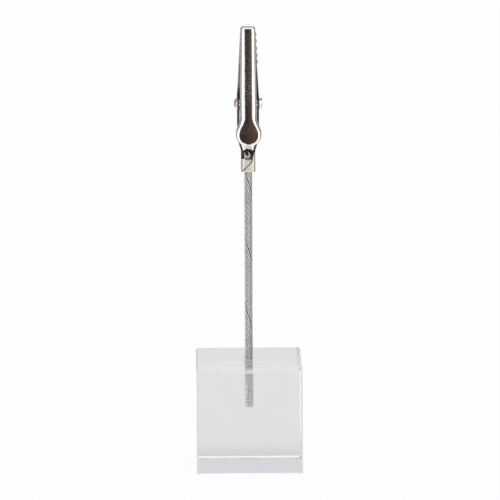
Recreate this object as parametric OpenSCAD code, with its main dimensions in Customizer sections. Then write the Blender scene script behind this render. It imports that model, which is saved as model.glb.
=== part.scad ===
// Place card holder: a toothed spring clip, crimped on a wire rope stem that is bonded into a clear block.
// Millimetres, +Z up. The origin is the centre of the block's bottom face, and the thumb jaw faces -Y.
// The clip has a frame of its own, on the stem axis at the lower end of the crimp.

/* [Block] */
// Width, depth and height of the clear block
block_side = 24.6; // [18:0.1:40]
// Leg of the polished chamfer along every edge
block_chamfer = 0.4; // [0.2:0.1:2]
// Depth of the straight wall of the blind hole
hole_depth = 10.2; // [6:0.1:14]
// Point angle of the drilled hole
drill_angle = 118; // [90:1:140]
// Thickness of the adhesive round the rope
adhesive_t = 0.2; // [0.1:0.05:0.5]
// Height of the adhesive fillet that climbs the rope on top of the block
fillet_h = 0.35; // [0.15:0.05:0.8]

/* [Wire rope] */
// Diameter of one wire
wire_d = 0.35; // [0.25:0.01:0.45]
// Gap between neighbouring wires
wire_gap = 0.02; // [0.01:0.005:0.05]
// Rise of an outer wire in one turn
outer_lay = 16; // [12:0.5:30]
// Rise of an inner wire in one turn
inner_lay = 11; // [9:0.5:20]
// Length of the rope between the block and the crimp
stem_len = 44.9; // [20:0.1:90]
// Length of the cut end that stands out above the crimp
rope_over = 0.2; // [0.1:0.1:1]

/* [Clip] */
// Turn of the clip about the stem
clip_turn = 1; // [-30:1:30]
// Length of the clip from the crimp to the nose
clip_len = 34.5; // [33:0.5:45]
// Length of the jaws from the rivet to the nose
jaw_len = 18.4; // [16:0.1:20.5]
// Length of the thumb lever behind the rivet
lever_len = 9.25; // [8.5:0.05:10]
// Thickness of the sheet steel
sheet_t = 0.45; // [0.3:0.05:0.6]
// Distance of the bite line, and the rivet on it, in front of the stem axis
bite_offset = 0.6; // [0.3:0.1:1]
// Depth of each jaw at the nose, from its back to the bite line
nose_depth = 1.9; // [1.8:0.1:2.6]
// Depth of the thumb jaw from its back to the rivet axis
thumb_depth = 3; // [2.7:0.1:3.5]
// Depth of the fixed jaw from its back to the rivet axis
fixed_depth = 2.6; // [2.3:0.1:3]
// Width of the flat along the back of both jaws at the nose
flat_w = 1.45; // [1.2:0.05:1.8]
// Outer radius of the bend round the nose
nose_r = 0.95; // [0.75:0.05:1.1]
// Outer radius of the bends of the thumb jaw at the rivet
thumb_bend_r = 1.2; // [0.9:0.05:1.4]
// Outer radius of the bends of the fixed jaw at the rivet
fixed_bend_r = 1; // [0.8:0.05:1.2]
// Gap between the ears of the two jaws
ear_gap = 0.35; // [0.2:0.05:0.5]
// Radius of the ears round the rivet
ear_r = 1.6; // [1.4:0.05:1.9]
// Angle by which the thumb lever is bent away from the jaw
lever_angle = 16.5; // [14:0.5:19]
// Width of the thumb pad
pad_w = 5.9; // [5:0.1:7]
// Outer radius of the rolled rim of the thumb pad
pad_rim_r = 0.85; // [0.7:0.05:1.2]
// Length of the pad's round end
pad_end_len = 2.5; // [2:0.1:3]

/* [Teeth] */
// Number of teeth on a jaw
tooth_count = 5; // [3:1:6]
// Distance from tooth to tooth
tooth_pitch = 1.64; // [1.2:0.02:1.7]
// Height of a tooth
tooth_h = 0.7; // [0.4:0.05:0.9]
// Length of the plain lip at the nose
lip_len = 1; // [0.8:0.1:1.5]
// Gap between the closed jaws
bite_gap = 0.12; // [0.08:0.02:0.2]
// Depth of the clear throat behind the teeth, in each jaw
throat_depth = 0.8; // [0.4:0.1:1]

/* [Crimp] */
// Length of the crimp barrel
crimp_len = 4.6; // [4:0.1:5]
// Width of the flattened barrel
crimp_w = 3.3; // [3.1:0.1:3.9]
// Outer radius of the barrel's corners
crimp_r = 0.9; // [0.7:0.05:1.1]
// Clearance between the rope and the barrel
crimp_clear = 0.02; // [0.01:0.01:0.05]
// Width of the seam between the two crimped tabs
seam_w = 0.16; // [0.1:0.02:0.25]
// Length of the tail that narrows from the handle to the crimp
tail_len = 3; // [2.5:0.1:4]

/* [Rivet and spring] */
// Diameter of the rivet's shank
rivet_d = 1.6; // [1.3:0.05:1.8]
// Radial clearance of the shank in the fixed jaw
rivet_clear = 0.02; // [0.01:0.01:0.04]
// Radial clearance of the shank in the thumb jaw
pivot_clear = 0.05; // [0.03:0.01:0.1]
// Diameter of the domed head
head_d = 2.95; // [2.6:0.05:3.2]
// Height of the domed head
head_h = 0.75; // [0.5:0.05:0.9]
// Diameter of the rolled tail
roll_d = 2.8; // [2.6:0.05:3.1]
// Height of the rolled tail
roll_h = 0.7; // [0.5:0.05:0.8]
// Diameter of the hole in the rolled tail
roll_hole_d = 0.9; // [0.6:0.05:1]
// Depth of the hole in the rolled tail
roll_hole_depth = 1.3; // [1:0.1:2]
// Diameter of the spring's wire
spring_d = 0.4; // [0.3:0.02:0.44]
// Whole turns of the spring
spring_turns = 2; // [1:1:2]
// Gap between the turns of the spring
spring_gap = 0.48; // [0.42:0.02:0.5]
// Radial clearance of the spring's coil on the rivet
coil_clear = 0.2; // [0.1:0.05:0.25]
// Gap between the spring's legs and the sheet that they press on
leg_gap = 0.06; // [0.02:0.02:0.15]

/* [Hidden] */
inner_wires = 6;
outer_wires = 12;
$fn = 48;

// One overrun serves every cut
overrun = 1;
clear_acrylic = [0.90, 0.93, 0.94, 0.45];
clear_bond = [0.95, 0.95, 0.90, 0.6];
steel_grey = [0.66, 0.65, 0.63];
nickel = [0.86, 0.85, 0.82];
spring_steel = [0.55, 0.54, 0.52];

// The rope: a core wire and two layers, each as tight as its slanted wires allow
wire_sides = 6;
outer_rings_per_turn = 12;
inner_rings_per_turn = 9;
wire_step = wire_d + wire_gap;
function slant(r, lay) = atan(2 * PI * r / lay);
function layer_r(least, count, lay) =
    max(least, (wire_d / cos(slant(least, lay)) + wire_gap) / (2 * sin(180 / count)));
inner_r = layer_r(wire_step, inner_wires, inner_lay);
outer_r = layer_r(inner_r + wire_step, outer_wires, outer_lay);
rope_r = outer_r + wire_d / 2;
rope_bottom = block_side - hole_depth;
crimp_bottom = block_side + stem_len;
rope_top = crimp_bottom + crimp_len + rope_over;
hole_r = rope_r + wire_gap + adhesive_t;

// The clip's frame: y across the bite, z along the clip
nose_z = clip_len;
rivet_z = clip_len - jaw_len;
lever_end = rivet_z - lever_len;
bite_y = -bite_offset;
thumb_half = flat_w / 2 + thumb_bend_r;
fixed_half = thumb_half + ear_gap + sheet_t;
crimp_bore = rope_r + crimp_clear;
crimp_back = crimp_bore + sheet_t;
tail_top = crimp_len + tail_len;

// Shares of the lever's length at which its bend lies, the pad starts to widen, and is at its full width
lever_bend_share = 0.26;
bend_soft_share = 0.16;
flare_from_share = 0.31;
flare_to_share = 0.7;
// Shares of the lever's length at which the spring's legs press
leg_shares = [0.62, 0.58];
// The tail lies inside the barrel's wall by this share of the sheet
tail_inset_share = 0.15;
// The open front of the barrel, above the left tab and beside the right tab's slanting edge,
// as shares of the barrel's width and length. It starts at the seam's upper end
front_shares = [[0.295, 0.66], [0.44, 1], [0.44, 1.3], [-1, 1.3], [-1, 0.66]];
// The seam of the two tabs, in the same shares
seam_shares = concat(
    [front_shares[0]], [[0.22, 0.52], [0.076, 0.374], [-0.22, 0.2], [-0.336, 0.09], [-0.32, -0.2]]);
// A bend's least flat, as a share of the sheet
least_flat_share = 0.05;
// Where the adhesive's fillet is hollow, as shares of its width and height
fillet_shares = [0.5, 0.35];
// Root and tip of a tooth, as shares of the pitch
tooth_shares = [0.25, 0.75];
// Levels of rings on each stretch of a jaw
nose_steps = 8;
lever_steps = 12;
handle_steps = 6;
tail_steps = 4;
// Angle at which the rings of a round end start
end_angle = 8;

function mix(a, b, t) = a + (b - a) * t;
function clamp(t) = min(1, max(0, t));
function ease(t) = let (c = clamp(t)) c * c * (3 - 2 * c);

// Rings of points joined into one closed solid, with a fan of triangles at each end
module loft(rings) {
    sides = len(rings[0]);
    last = len(rings) - 1;
    walls = [for (i = [0:last - 1]) for (j = [0:sides - 1])
        let (n = (j + 1) % sides, a = i * sides, b = a + sides)
        each [[a + j, b + j, b + n], [a + j, b + n, a + n]]];
    first_end = [for (j = [1:sides - 2]) [0, j, j + 1]];
    last_end = [for (j = [1:sides - 2]) [last * sides, last * sides + j + 1, last * sides + j]];
    polyhedron([for (ring = rings) each ring], concat(walls, first_end, last_end));
}

// The block and its bond

// A square with its corners cut at 45 degrees
module cut_square(side, leg) {
    half = side / 2;
    polygon([
        [half - leg, -half], [half, leg - half], [half, half - leg], [half - leg, half],
        [leg - half, half], [-half, half - leg], [-half, leg - half], [leg - half, -half]]);
}

module prism(side, leg) {
    linear_extrude(side, center = true) cut_square(side, leg);
}

module block() {
    color(clear_acrylic) difference() {
        translate([0, 0, block_side / 2]) intersection() {
            prism(block_side, block_chamfer);
            rotate([90, 0, 0]) prism(block_side, block_chamfer);
            rotate([0, 90, 0]) prism(block_side, block_chamfer);
        }
        translate([0, 0, rope_bottom]) {
            cylinder(h = hole_depth + overrun, r = hole_r);
            drill_point = hole_r / tan(drill_angle / 2);
            translate([0, 0, -drill_point]) cylinder(h = drill_point, r1 = 0, r2 = hole_r);
        }
    }
}

module adhesive() {
    bore = rope_r + wire_gap;
    rise = block_side + fillet_h;
    color(clear_bond) rotate_extrude()
        polygon([
            [bore, rope_bottom], [hole_r, rope_bottom], [hole_r, block_side],
            [mix(bore, hole_r, fillet_shares.x), mix(block_side, rise, fillet_shares.y)],
            [bore + wire_gap, rise], [bore, rise]]);
}

// The rope

// One wire of a layer: level rings round a helix, so that both ends are cut square to the rope
module wire(r, lay, phase, rings_per_turn) {
    turn = 360 * (rope_top - rope_bottom) / lay;
    steps = ceil(abs(turn) / 360 * rings_per_turn);
    across = wire_d / 2 / cos(slant(r, lay));
    loft([for (i = [0:steps])
        let (angle = phase + turn * i / steps, z = mix(rope_bottom, rope_top, i / steps))
        [for (k = [0:wire_sides - 1])
            let (a = 360 * k / wire_sides, out = r + wire_d / 2 * cos(a), side = across * sin(a))
            [out * cos(angle) - side * sin(angle), out * sin(angle) + side * cos(angle), z]]]);
}

module core_wire() {
    color(steel_grey) translate([0, 0, rope_bottom]) cylinder(h = rope_top - rope_bottom, r = wire_d / 2);
}

module inner_wire(k) {
    color(steel_grey) wire(inner_r, inner_lay, 360 * k / inner_wires, inner_rings_per_turn);
}

module outer_wire(k) {
    color(steel_grey) wire(outer_r, -outer_lay, 360 * k / outer_wires, outer_rings_per_turn);
}

// The stamped jaws

// How far a round end of radius r has drawn in at a distance from its tip, for a skin set inwards
function end_round(from_tip, r, inset) =
    from_tip < r ? r - sqrt(max(0, pow(r - inset, 2) - pow(r - from_tip, 2))) : inset;

// A level ring round a jaw: across its flat back, round two bends and out along its walls to the open side
bend_steps = 6;
function jaw_ring(z, flat, half, back, bend, open, side) =
    let (
        f = max(flat, least_flat_share * sheet_t),
        bends = [for (k = [0:bend_steps]) let (a = 90 * k / bend_steps)
            [f + (half - f) * cos(a), back + side * bend * (1 - sin(a))]],
        half_ring = concat([[half, open]], bends),
        right = [for (p = half_ring) [p.x, p.y, z]],
        left = [for (i = [len(half_ring) - 1:-1:0]) [-half_ring[i].x, half_ring[i].y, z]])
    side > 0 ? concat(right, left) : [for (i = [2 * len(right) - 1:-1:0]) concat(right, left)[i]];

// Heights of the rings round an end of radius r, from its tip to where it is full
end_steps = 7;
function end_heights(r, inset) =
    [for (k = [0:end_steps]) let (a = mix(end_angle, 90, k / end_steps)) inset + (r - inset) * (1 - cos(a))];
function even_heights(from, to, steps) = [for (k = [1:steps - 1]) mix(from, to, k / steps)];
function backwards(list) = [for (i = [len(list) - 1:-1:0]) list[i]];

// The thumb jaw's back leans evenly from nose to rivet, then bends away along the lever
function soft_bend(d) = (d + sqrt(d * d + pow(bend_soft_share * lever_len, 2))) / 2;
function thumb_back(z) =
    bite_y - mix(thumb_depth, nose_depth, (z - rivet_z) / jaw_len)
    - tan(lever_angle) * soft_bend(rivet_z - z - lever_bend_share * lever_len);
function thumb_flare(z) =
    ease(((rivet_z - z) / lever_len - flare_from_share) / (flare_to_share - flare_from_share));
function thumb_bend(z) =
    mix(mix(nose_r, thumb_bend_r, ease((nose_z - z) / jaw_len)), pad_rim_r, thumb_flare(z));
function thumb_flat(z) = mix(flat_w / 2, pad_w / 2 - pad_rim_r, thumb_flare(z));

module thumb_skin(inset, open) {
    pad_r = pad_w / 2;
    pad_stretch = pad_end_len / pad_r;
    heights = concat(
        [for (h = end_heights(nose_r, inset)) nose_z - h],
        even_heights(nose_z - nose_r, rivet_z, nose_steps),
        even_heights(rivet_z, lever_end + pad_end_len, lever_steps),
        [for (h = backwards(end_heights(pad_r, inset))) lever_end + pad_stretch * h]);
    loft([for (z = heights)
        let (
            from_nose = nose_z - z,
            from_pad = (z - lever_end) / pad_stretch,
            at_nose = end_round(from_nose, nose_r, inset),
            bend = thumb_bend(z),
            flat = thumb_flat(z) - end_round(from_pad - pad_rim_r, pad_r - pad_rim_r, 0),
            half = thumb_flat(z) + bend - max(at_nose, end_round(from_pad, pad_r, inset)),
            drop = max(at_nose, end_round(from_pad, pad_rim_r, inset)))
        jaw_ring(z, flat, half, thumb_back(z) + drop, bend - drop, open, 1)]);
}

// The fixed jaw's back bows out a little at the rivet and runs down to the crimp
tail_half = crimp_w / 2 - tail_inset_share * sheet_t;
tail_back = crimp_back - tail_inset_share * sheet_t;
function fixed_back(z) =
    z > rivet_z ? bite_y + mix(fixed_depth, nose_depth, (z - rivet_z) / jaw_len)
    : mix(tail_back, bite_y + fixed_depth, ease((z - crimp_len) / (rivet_z - crimp_len)));
function to_nose(z) = clamp((z - rivet_z - ear_r) / (jaw_len - ear_r - nose_r));
function from_tail(z) = clamp((z - crimp_len) / tail_len);
function fixed_width(z) =
    z > rivet_z ? mix(fixed_half, flat_w / 2 + nose_r, to_nose(z)) : mix(tail_half, fixed_half, from_tail(z));
function fixed_bend(z) =
    z > rivet_z ? mix(fixed_bend_r, nose_r, to_nose(z)) : mix(crimp_r, fixed_bend_r, from_tail(z));

module fixed_skin(inset, bottom, open) {
    heights = concat(
        [for (h = end_heights(nose_r, inset)) nose_z - h],
        even_heights(nose_z - nose_r, rivet_z + ear_r, nose_steps),
        [rivet_z + ear_r],
        even_heights(rivet_z + ear_r, tail_top, handle_steps),
        [tail_top],
        even_heights(tail_top, crimp_len, tail_steps),
        [crimp_len, bottom]);
    loft([for (z = heights)
        let (
            drop = end_round(nose_z - z, nose_r, inset),
            half = fixed_width(z) - drop,
            bend = fixed_bend(z))
        jaw_ring(z, fixed_width(z) - bend, half, fixed_back(z) - drop, bend - drop, open, -1)]);
}

// The toothed edge of a jaw, from the nose down, about a line at y
tooth_top = nose_z - lip_len;
tooth_end = tooth_top - tooth_count * tooth_pitch;
function toothed_edge(y) = concat(
    [[y, nose_z + overrun], [y, tooth_top]],
    [for (k = [0:tooth_count - 1]) each [
        [y + tooth_h / 2, tooth_top - (k + tooth_shares[0]) * tooth_pitch],
        [y - tooth_h / 2, tooth_top - (k + tooth_shares[1]) * tooth_pitch]]],
    [[y, tooth_end]]);

// A flat outline in y and z, as wide as both jaws
module across(outline) {
    rotate([90, 0, 90]) linear_extrude(2 * (fixed_half + pad_w), center = true) polygon(outline);
}

module ear() {
    rotate([90, 0, 90]) linear_extrude(2 * (fixed_half + pad_w), center = true)
        translate([bite_y, rivet_z]) circle(ear_r);
}

// What the thumb jaw keeps of its skin, seen from the side
thumb_front = thumb_back(lever_end) - overrun;
module thumb_side() {
    y = bite_y - bite_gap / 2;
    pad_top = rivet_z - flare_to_share * lever_len;
    pad_heights = concat([pad_top], even_heights(pad_top, lever_end, lever_steps), [lever_end - overrun]);
    pad_edge = [for (z = pad_heights) [thumb_back(z) + pad_rim_r, z]];
    across(concat(
        toothed_edge(y),
        [[y - throat_depth, tooth_end - throat_depth], [y - throat_depth, rivet_z + ear_r],
            [bite_y, rivet_z], [bite_y, rivet_z - ear_r]],
        pad_edge,
        [[thumb_front, lever_end - overrun], [thumb_front, nose_z + overrun]]));
    ear();
}

// What the fixed jaw keeps of its skin, seen from the side
module fixed_side() {
    y = bite_y + bite_gap / 2;
    rear = bite_y + fixed_depth + overrun;
    across(concat(
        toothed_edge(y),
        [[y + throat_depth, tooth_end - throat_depth], [y + throat_depth, rivet_z + ear_r],
            [bite_y, rivet_z], [bite_y, tail_top], [0, crimp_len], [0, 0],
            [rear, 0], [rear, nose_z + overrun]]));
    ear();
}

module rivet_bore(r) {
    translate([0, bite_y, rivet_z]) rotate([0, 90, 0])
        cylinder(h = 2 * (fixed_half + overrun), r = r, center = true);
}

// A rectangle with round corners, as wide and deep as given
module soft_rectangle(w, d, r) {
    square([w - 2 * r, d], center = true);
    square([w, d - 2 * r], center = true);
    for (x = [-1, 1], y = [-1, 1]) translate([x * (w / 2 - r), y * (d / 2 - r)]) circle(r);
}

// The barrel: two tabs folded round the rope, which meet along a slanting seam in front
module crimp_barrel() {
    difference() {
        linear_extrude(crimp_len) soft_rectangle(crimp_w, 2 * crimp_back, crimp_r);
        crimp_hollow();
        translate([0, -crimp_bore - crimp_clear]) rotate([90, 0, 0]) linear_extrude(sheet_t + overrun) {
            for (i = [1:len(seam_shares) - 1]) {
                start = [seam_shares[i - 1].x * crimp_w, seam_shares[i - 1].y * crimp_len];
                end = [seam_shares[i].x * crimp_w, seam_shares[i].y * crimp_len];
                run = end - start;
                translate(start) rotate(atan2(run.y, run.x))
                    translate([-seam_w / 2, -seam_w / 2]) square([norm(run) + seam_w, seam_w]);
            }
        }
        rotate([90, 0, 0]) linear_extrude(crimp_back + overrun)
            polygon([for (share = front_shares) [share.x * crimp_w, share.y * crimp_len]]);
    }
}

module crimp_hollow() {
    translate([0, 0, -overrun]) linear_extrude(crimp_len + overrun)
        soft_rectangle(crimp_w - 2 * sheet_t, 2 * crimp_bore, crimp_r - sheet_t);
}

module clip_place() {
    translate([0, 0, crimp_bottom]) rotate([0, 0, clip_turn]) children();
}

module fixed_jaw() {
    open = bite_y - ear_r - overrun;
    color(nickel) clip_place() difference() {
        union() {
            intersection() {
                difference() {
                    fixed_skin(0, crimp_len / 2, open);
                    fixed_skin(sheet_t, 0, open - overrun);
                }
                fixed_side();
            }
            crimp_barrel();
        }
        crimp_hollow();
        rivet_bore(rivet_d / 2 + rivet_clear);
    }
}

module thumb_jaw() {
    open = bite_y + ear_r + overrun;
    color(nickel) clip_place() difference() {
        intersection() {
            difference() {
                thumb_skin(0, open);
                thumb_skin(sheet_t, open + overrun);
            }
            thumb_side();
        }
        rivet_bore(rivet_d / 2 + pivot_clear);
    }
}

// A rivet with a domed head on the left ear and its hollow end rolled over the right ear
module rivet() {
    dome_r = (pow(head_d / 2, 2) + pow(head_h, 2)) / (2 * head_h);
    roll_r = roll_h / 2;
    color(nickel) clip_place() translate([0, bite_y, rivet_z]) rotate([0, 90, 0]) difference() {
        union() {
            translate([0, 0, -fixed_half]) cylinder(h = 2 * fixed_half, d = rivet_d);
            translate([0, 0, -fixed_half]) intersection() {
                translate([0, 0, dome_r - head_h]) sphere(dome_r);
                translate([0, 0, -head_h]) cylinder(h = head_h, d = head_d);
            }
            translate([0, 0, fixed_half + roll_r]) rotate_extrude() {
                translate([roll_d / 2 - roll_r, 0]) circle(roll_r);
                translate([0, -roll_r]) square([roll_d / 2 - roll_r, roll_h]);
            }
        }
        translate([0, 0, fixed_half + roll_h - roll_hole_depth])
            cylinder(h = roll_hole_depth + overrun, d = roll_hole_d);
    }
}

// The spring: up in front from the lever, round the rivet and down the back to the handle
spring_sides = 6;
spring_rings_per_turn = 16;
coil_r = rivet_d / 2 + coil_clear + spring_d / 2;
lever_leg_z = rivet_z - leg_shares[0] * lever_len;
handle_leg_z = rivet_z - leg_shares[1] * lever_len;
lever_leg = [thumb_back(lever_leg_z) + sheet_t + leg_gap + spring_d / 2 - bite_y, lever_leg_z - rivet_z];
handle_leg = [fixed_back(handle_leg_z) - sheet_t - leg_gap - spring_d / 2 - bite_y, handle_leg_z - rivet_z];
function touch_angle(p, side) = atan2(p.y, p.x) + side * acos(coil_r / norm(p));
coil_start = 360 + touch_angle(lever_leg, -1);
coil_end = touch_angle(handle_leg, 1);
coil_sweep = coil_start - coil_end + 360 * spring_turns;
coil_steps = ceil(coil_sweep / 360 * spring_rings_per_turn);
coil_half = (spring_d + spring_gap) * coil_sweep / 720;
coil_points = [for (i = [0:coil_steps])
    let (t = i / coil_steps, a = coil_start - coil_sweep * t)
    [mix(-coil_half, coil_half, t), coil_r * cos(a), coil_r * sin(a)]];
spring_points = concat(
    [[-coil_half, lever_leg.x, lever_leg.y]], coil_points, [[coil_half, handle_leg.x, handle_leg.y]]);

// The least gap of the spring to itself, measured between points half a turn or more apart
spring_reach = spring_rings_per_turn / 2;
spring_last = len(spring_points) - 1;
spring_spans = [for (i = [0:spring_last]) for (j = [i + spring_reach:1:spring_last])
    norm(spring_points[i] - spring_points[j])];
spring_least_gap = min(spring_spans) - spring_d;
echo(spring_least_gap = spring_least_gap);

function unit(v) = v / norm(v);
module spring() {
    sideways = [1, 0, 0];
    color(spring_steel) clip_place() translate([0, bite_y, rivet_z]) loft([for (i = [0:spring_last])
        let (
            way = unit(spring_points[min(i + 1, spring_last)] - spring_points[max(i - 1, 0)]),
            up = unit(cross(way, sideways)),
            out = cross(up, way))
        [for (k = [0:spring_sides - 1]) let (a = 360 * k / spring_sides)
            spring_points[i] + spring_d / 2 * (cos(a) * out + sin(a) * up)]]);
}

block();
adhesive();
core_wire();
for (k = [1:inner_wires]) inner_wire(k);
for (k = [1:outer_wires]) outer_wire(k);
fixed_jaw();
thumb_jaw();
rivet();
spring();
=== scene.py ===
"""Looks of the place card holder: a toothed clip, crimped on a wire rope stem in a clear block."""

import math

import bpy
from mathutils import Matrix, Vector


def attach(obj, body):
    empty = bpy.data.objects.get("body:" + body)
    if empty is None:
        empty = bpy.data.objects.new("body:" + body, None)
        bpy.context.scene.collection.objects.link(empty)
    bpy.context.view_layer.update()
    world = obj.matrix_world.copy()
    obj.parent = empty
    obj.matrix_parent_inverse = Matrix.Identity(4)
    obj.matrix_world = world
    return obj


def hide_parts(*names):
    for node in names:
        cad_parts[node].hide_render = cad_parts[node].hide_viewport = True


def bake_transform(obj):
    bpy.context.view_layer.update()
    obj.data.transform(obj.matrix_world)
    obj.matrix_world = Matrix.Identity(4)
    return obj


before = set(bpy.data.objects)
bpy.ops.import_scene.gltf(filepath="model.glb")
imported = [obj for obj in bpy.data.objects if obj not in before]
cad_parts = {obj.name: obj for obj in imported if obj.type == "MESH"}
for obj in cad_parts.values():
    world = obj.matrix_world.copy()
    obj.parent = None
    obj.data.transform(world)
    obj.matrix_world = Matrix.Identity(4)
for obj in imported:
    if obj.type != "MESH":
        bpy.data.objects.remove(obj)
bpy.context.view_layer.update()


# The clear block: cast acrylic, sawn to a cube, with every edge chamfered and all faces polished.
# A blind hole is drilled from the top for the stem. The chamfers are buffed, but those round the
# top are left as scraped, and towards the right they are painted white as painted light. Handling
# leaves faint smears on the polish.
MM = 0.001
BLOCK_SIDE = 24.6 * MM
HALF_BLOCK = BLOCK_SIDE / 2
BLOCK_CHAMFER = 0.4 * MM
HOLE_R = 1.143 * MM
HOLE_DEPTH = 10.2 * MM
DRILL_ANGLE = math.radians(118)
OVERRUN = 1 * MM
DRILL_SIDES = 96
FLAT_NORMAL = 0.9
DRILLED, BUFFED, SCRAPED = 1, 2, 3
ACRYLIC_IOR = 1.49
WHITE = (1, 1, 1, 1)
# The acrylic's grey tint is painted shade: it darkens the clear block to the grey of a dimmer room seen
# through it. The smears darken it a little more.
ACRYLIC_SHADE_TINT = (0.79, 0.793, 0.797, 1)
ACRYLIC_SMEAR_SHADE_TINT = (0.77, 0.773, 0.777, 1)


class Shade:
    """One value of a node tree. Sums and products add Math nodes, and node() adds any other node."""

    def __init__(self, tree, socket=None):
        self.tree = tree
        self.socket = socket

    def node(self, kind, settings=None, inputs=None, output=0):
        made = self.tree.nodes.new(kind)
        for name, value in (settings or {}).items():
            setattr(made, name, value)
        for name, value in (inputs or {}).items():
            if isinstance(value, Shade):
                self.tree.links.new(value.socket, made.inputs[name])
            else:
                made.inputs[name].default_value = value
        return Shade(self.tree, made.outputs[output])

    def math(self, operation, first, second):
        return self.node("ShaderNodeMath", {"operation": operation}, {0: first, 1: second})

    def __add__(self, other):
        return self.math("ADD", self, other)

    def __radd__(self, other):
        return self.math("ADD", other, self)

    def __sub__(self, other):
        return self.math("SUBTRACT", self, other)

    def __rsub__(self, other):
        return self.math("SUBTRACT", other, self)

    def __mul__(self, other):
        return self.math("MULTIPLY", self, other)

    def __rmul__(self, other):
        return self.math("MULTIPLY", other, self)

    def __abs__(self):
        return self.math("ABSOLUTE", self, 0)

    def along(self, axis):
        """How far this place lies along an axis, X, Y or Z."""
        return self.node("ShaderNodeSeparateXYZ", None, {0: self}, axis)

    def ray(self, kind):
        """1 for rays of this kind, such as Camera, and 0 for all others."""
        return self.node("ShaderNodeLightPath", output=f"Is {kind} Ray")

    def rise(self, low, high):
        """0 below low, 1 above high and smooth between them. It falls where low is above high."""
        ends = {"Value": self, "From Min": low, "From Max": high}
        return self.node("ShaderNodeMapRange", {"interpolation_type": "SMOOTHSTEP"}, ends)

    def blend(self, first, second):
        """A colour from first to second as this value goes from 0 to 1."""
        return self.node("ShaderNodeMix", {"data_type": "RGBA"}, {0: self, 6: first, 7: second}, 2)

    def noise(self, size, detail=3, roughness=0.5):
        """Cloudy noise over this place, whose lumps are about size across."""
        inputs = {"Vector": self, "Scale": 1 / size, "Detail": detail, "Roughness": roughness}
        return self.node("ShaderNodeTexNoise", None, inputs)

    def stretched(self, turn, scale):
        """This place, turned and scaled, so that noise over it runs in one direction."""
        return self.node("ShaderNodeMapping", None, {"Vector": self, "Rotation": turn, "Scale": scale})

    def bumps(self, height):
        """A surface normal with this value as its relief, of the given height."""
        return self.node("ShaderNodeBump", None, {"Height": self, "Distance": height})


def new_material(name, **constants):
    """A material, its main shader with constant settings, and the place on the piece as a Shade."""
    material = bpy.data.materials.new(name)
    material.use_nodes = True
    shader = material.node_tree.nodes["Principled BSDF"]
    for socket, value in constants.items():
        shader.inputs[socket.replace("_", " ")].default_value = value
    place = Shade(material.node_tree).node("ShaderNodeTexCoord", output="Object")
    return material, shader, place


def feed(shader, **shades):
    """Links values that vary over the piece to inputs of its shader."""
    for socket, shade in shades.items():
        shade.tree.links.new(shade.socket, shader.inputs[socket.replace("_", " ")])


def fresh(add, **settings):
    """Adds a primitive with nothing else selected, and returns its object."""
    bpy.ops.object.select_all(action="DESELECT")
    add(**settings)
    return bpy.context.object


def shape(piece):
    """Opens a piece for editing, with all of it selected."""
    bpy.ops.object.select_all(action="DESELECT")
    piece.select_set(True)
    bpy.context.view_layer.objects.active = piece
    bpy.ops.object.mode_set(mode="EDIT")
    bpy.ops.mesh.select_all(action="SELECT")


def shaped():
    """Closes the piece that is open for editing."""
    bpy.ops.object.mode_set(mode="OBJECT")


def pick(piece, chosen):
    """Selects the vertices of an open piece for which chosen(co) is true."""
    bpy.ops.mesh.select_all(action="DESELECT")
    shaped()
    for vertex in piece.data.vertices:
        vertex.select = chosen(vertex.co)
    bpy.ops.object.mode_set(mode="EDIT")


def applied(piece, kind, **settings):
    """Adds a modifier to a piece and applies it."""
    bpy.context.view_layer.objects.active = piece
    modifier = piece.modifiers.new(kind, kind)
    for name, value in settings.items():
        setattr(modifier, name, value)
    bpy.ops.object.modifier_apply(modifier=modifier.name)


def smooth(piece, degrees):
    """Shades a piece smooth, apart from edges sharper than an angle."""
    bpy.ops.object.select_all(action="DESELECT")
    piece.select_set(True)
    bpy.context.view_layer.objects.active = piece
    bpy.ops.object.shade_smooth_by_angle(angle=math.radians(degrees))


def stands_for(piece, name, node, slot, *materials):
    """Names a finished piece, adds its materials, and hides the imported part of the same node."""
    piece.name = name
    for material in materials:
        piece.data.materials.append(material)
    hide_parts(node)


block = fresh(bpy.ops.mesh.primitive_cube_add, size=BLOCK_SIDE, location=(0, 0, HALF_BLOCK))
bpy.ops.object.transform_apply(location=True)
shape(block)
bpy.ops.mesh.bevel(offset=BLOCK_CHAMFER, segments=1, affect="EDGES")
shaped()

hole_bottom = BLOCK_SIDE - HOLE_DEPTH
drill = fresh(
    bpy.ops.mesh.primitive_cylinder_add, vertices=DRILL_SIDES, radius=HOLE_R, depth=HOLE_DEPTH + OVERRUN,
    location=(0, 0, hole_bottom + (HOLE_DEPTH + OVERRUN) / 2))
bpy.ops.object.transform_apply(location=True)
shape(drill)
pick(drill, lambda co: co.z < hole_bottom + OVERRUN / 2)
drill_tip = (0, 0, -HOLE_R / math.tan(DRILL_ANGLE / 2))
bpy.ops.mesh.extrude_region_move(TRANSFORM_OT_translate={"value": drill_tip})
bpy.ops.mesh.merge(type="CENTER")
shaped()
applied(block, "BOOLEAN", operation="DIFFERENCE", object=drill, solver="EXACT")
bpy.data.objects.remove(drill)
for face in block.data.polygons:
    off_axis = math.hypot(face.center.x, face.center.y)
    in_hole = off_axis < HOLE_R and BLOCK_CHAMFER < face.center.z < BLOCK_SIDE - BLOCK_CHAMFER
    face.use_smooth = in_hole
    if in_hole:
        face.material_index = DRILLED
    elif max(abs(part) for part in face.normal) < FLAT_NORMAL:
        on_top = face.center.z > BLOCK_SIDE - BLOCK_CHAMFER
        face.material_index = SCRAPED if on_top else BUFFED

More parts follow.
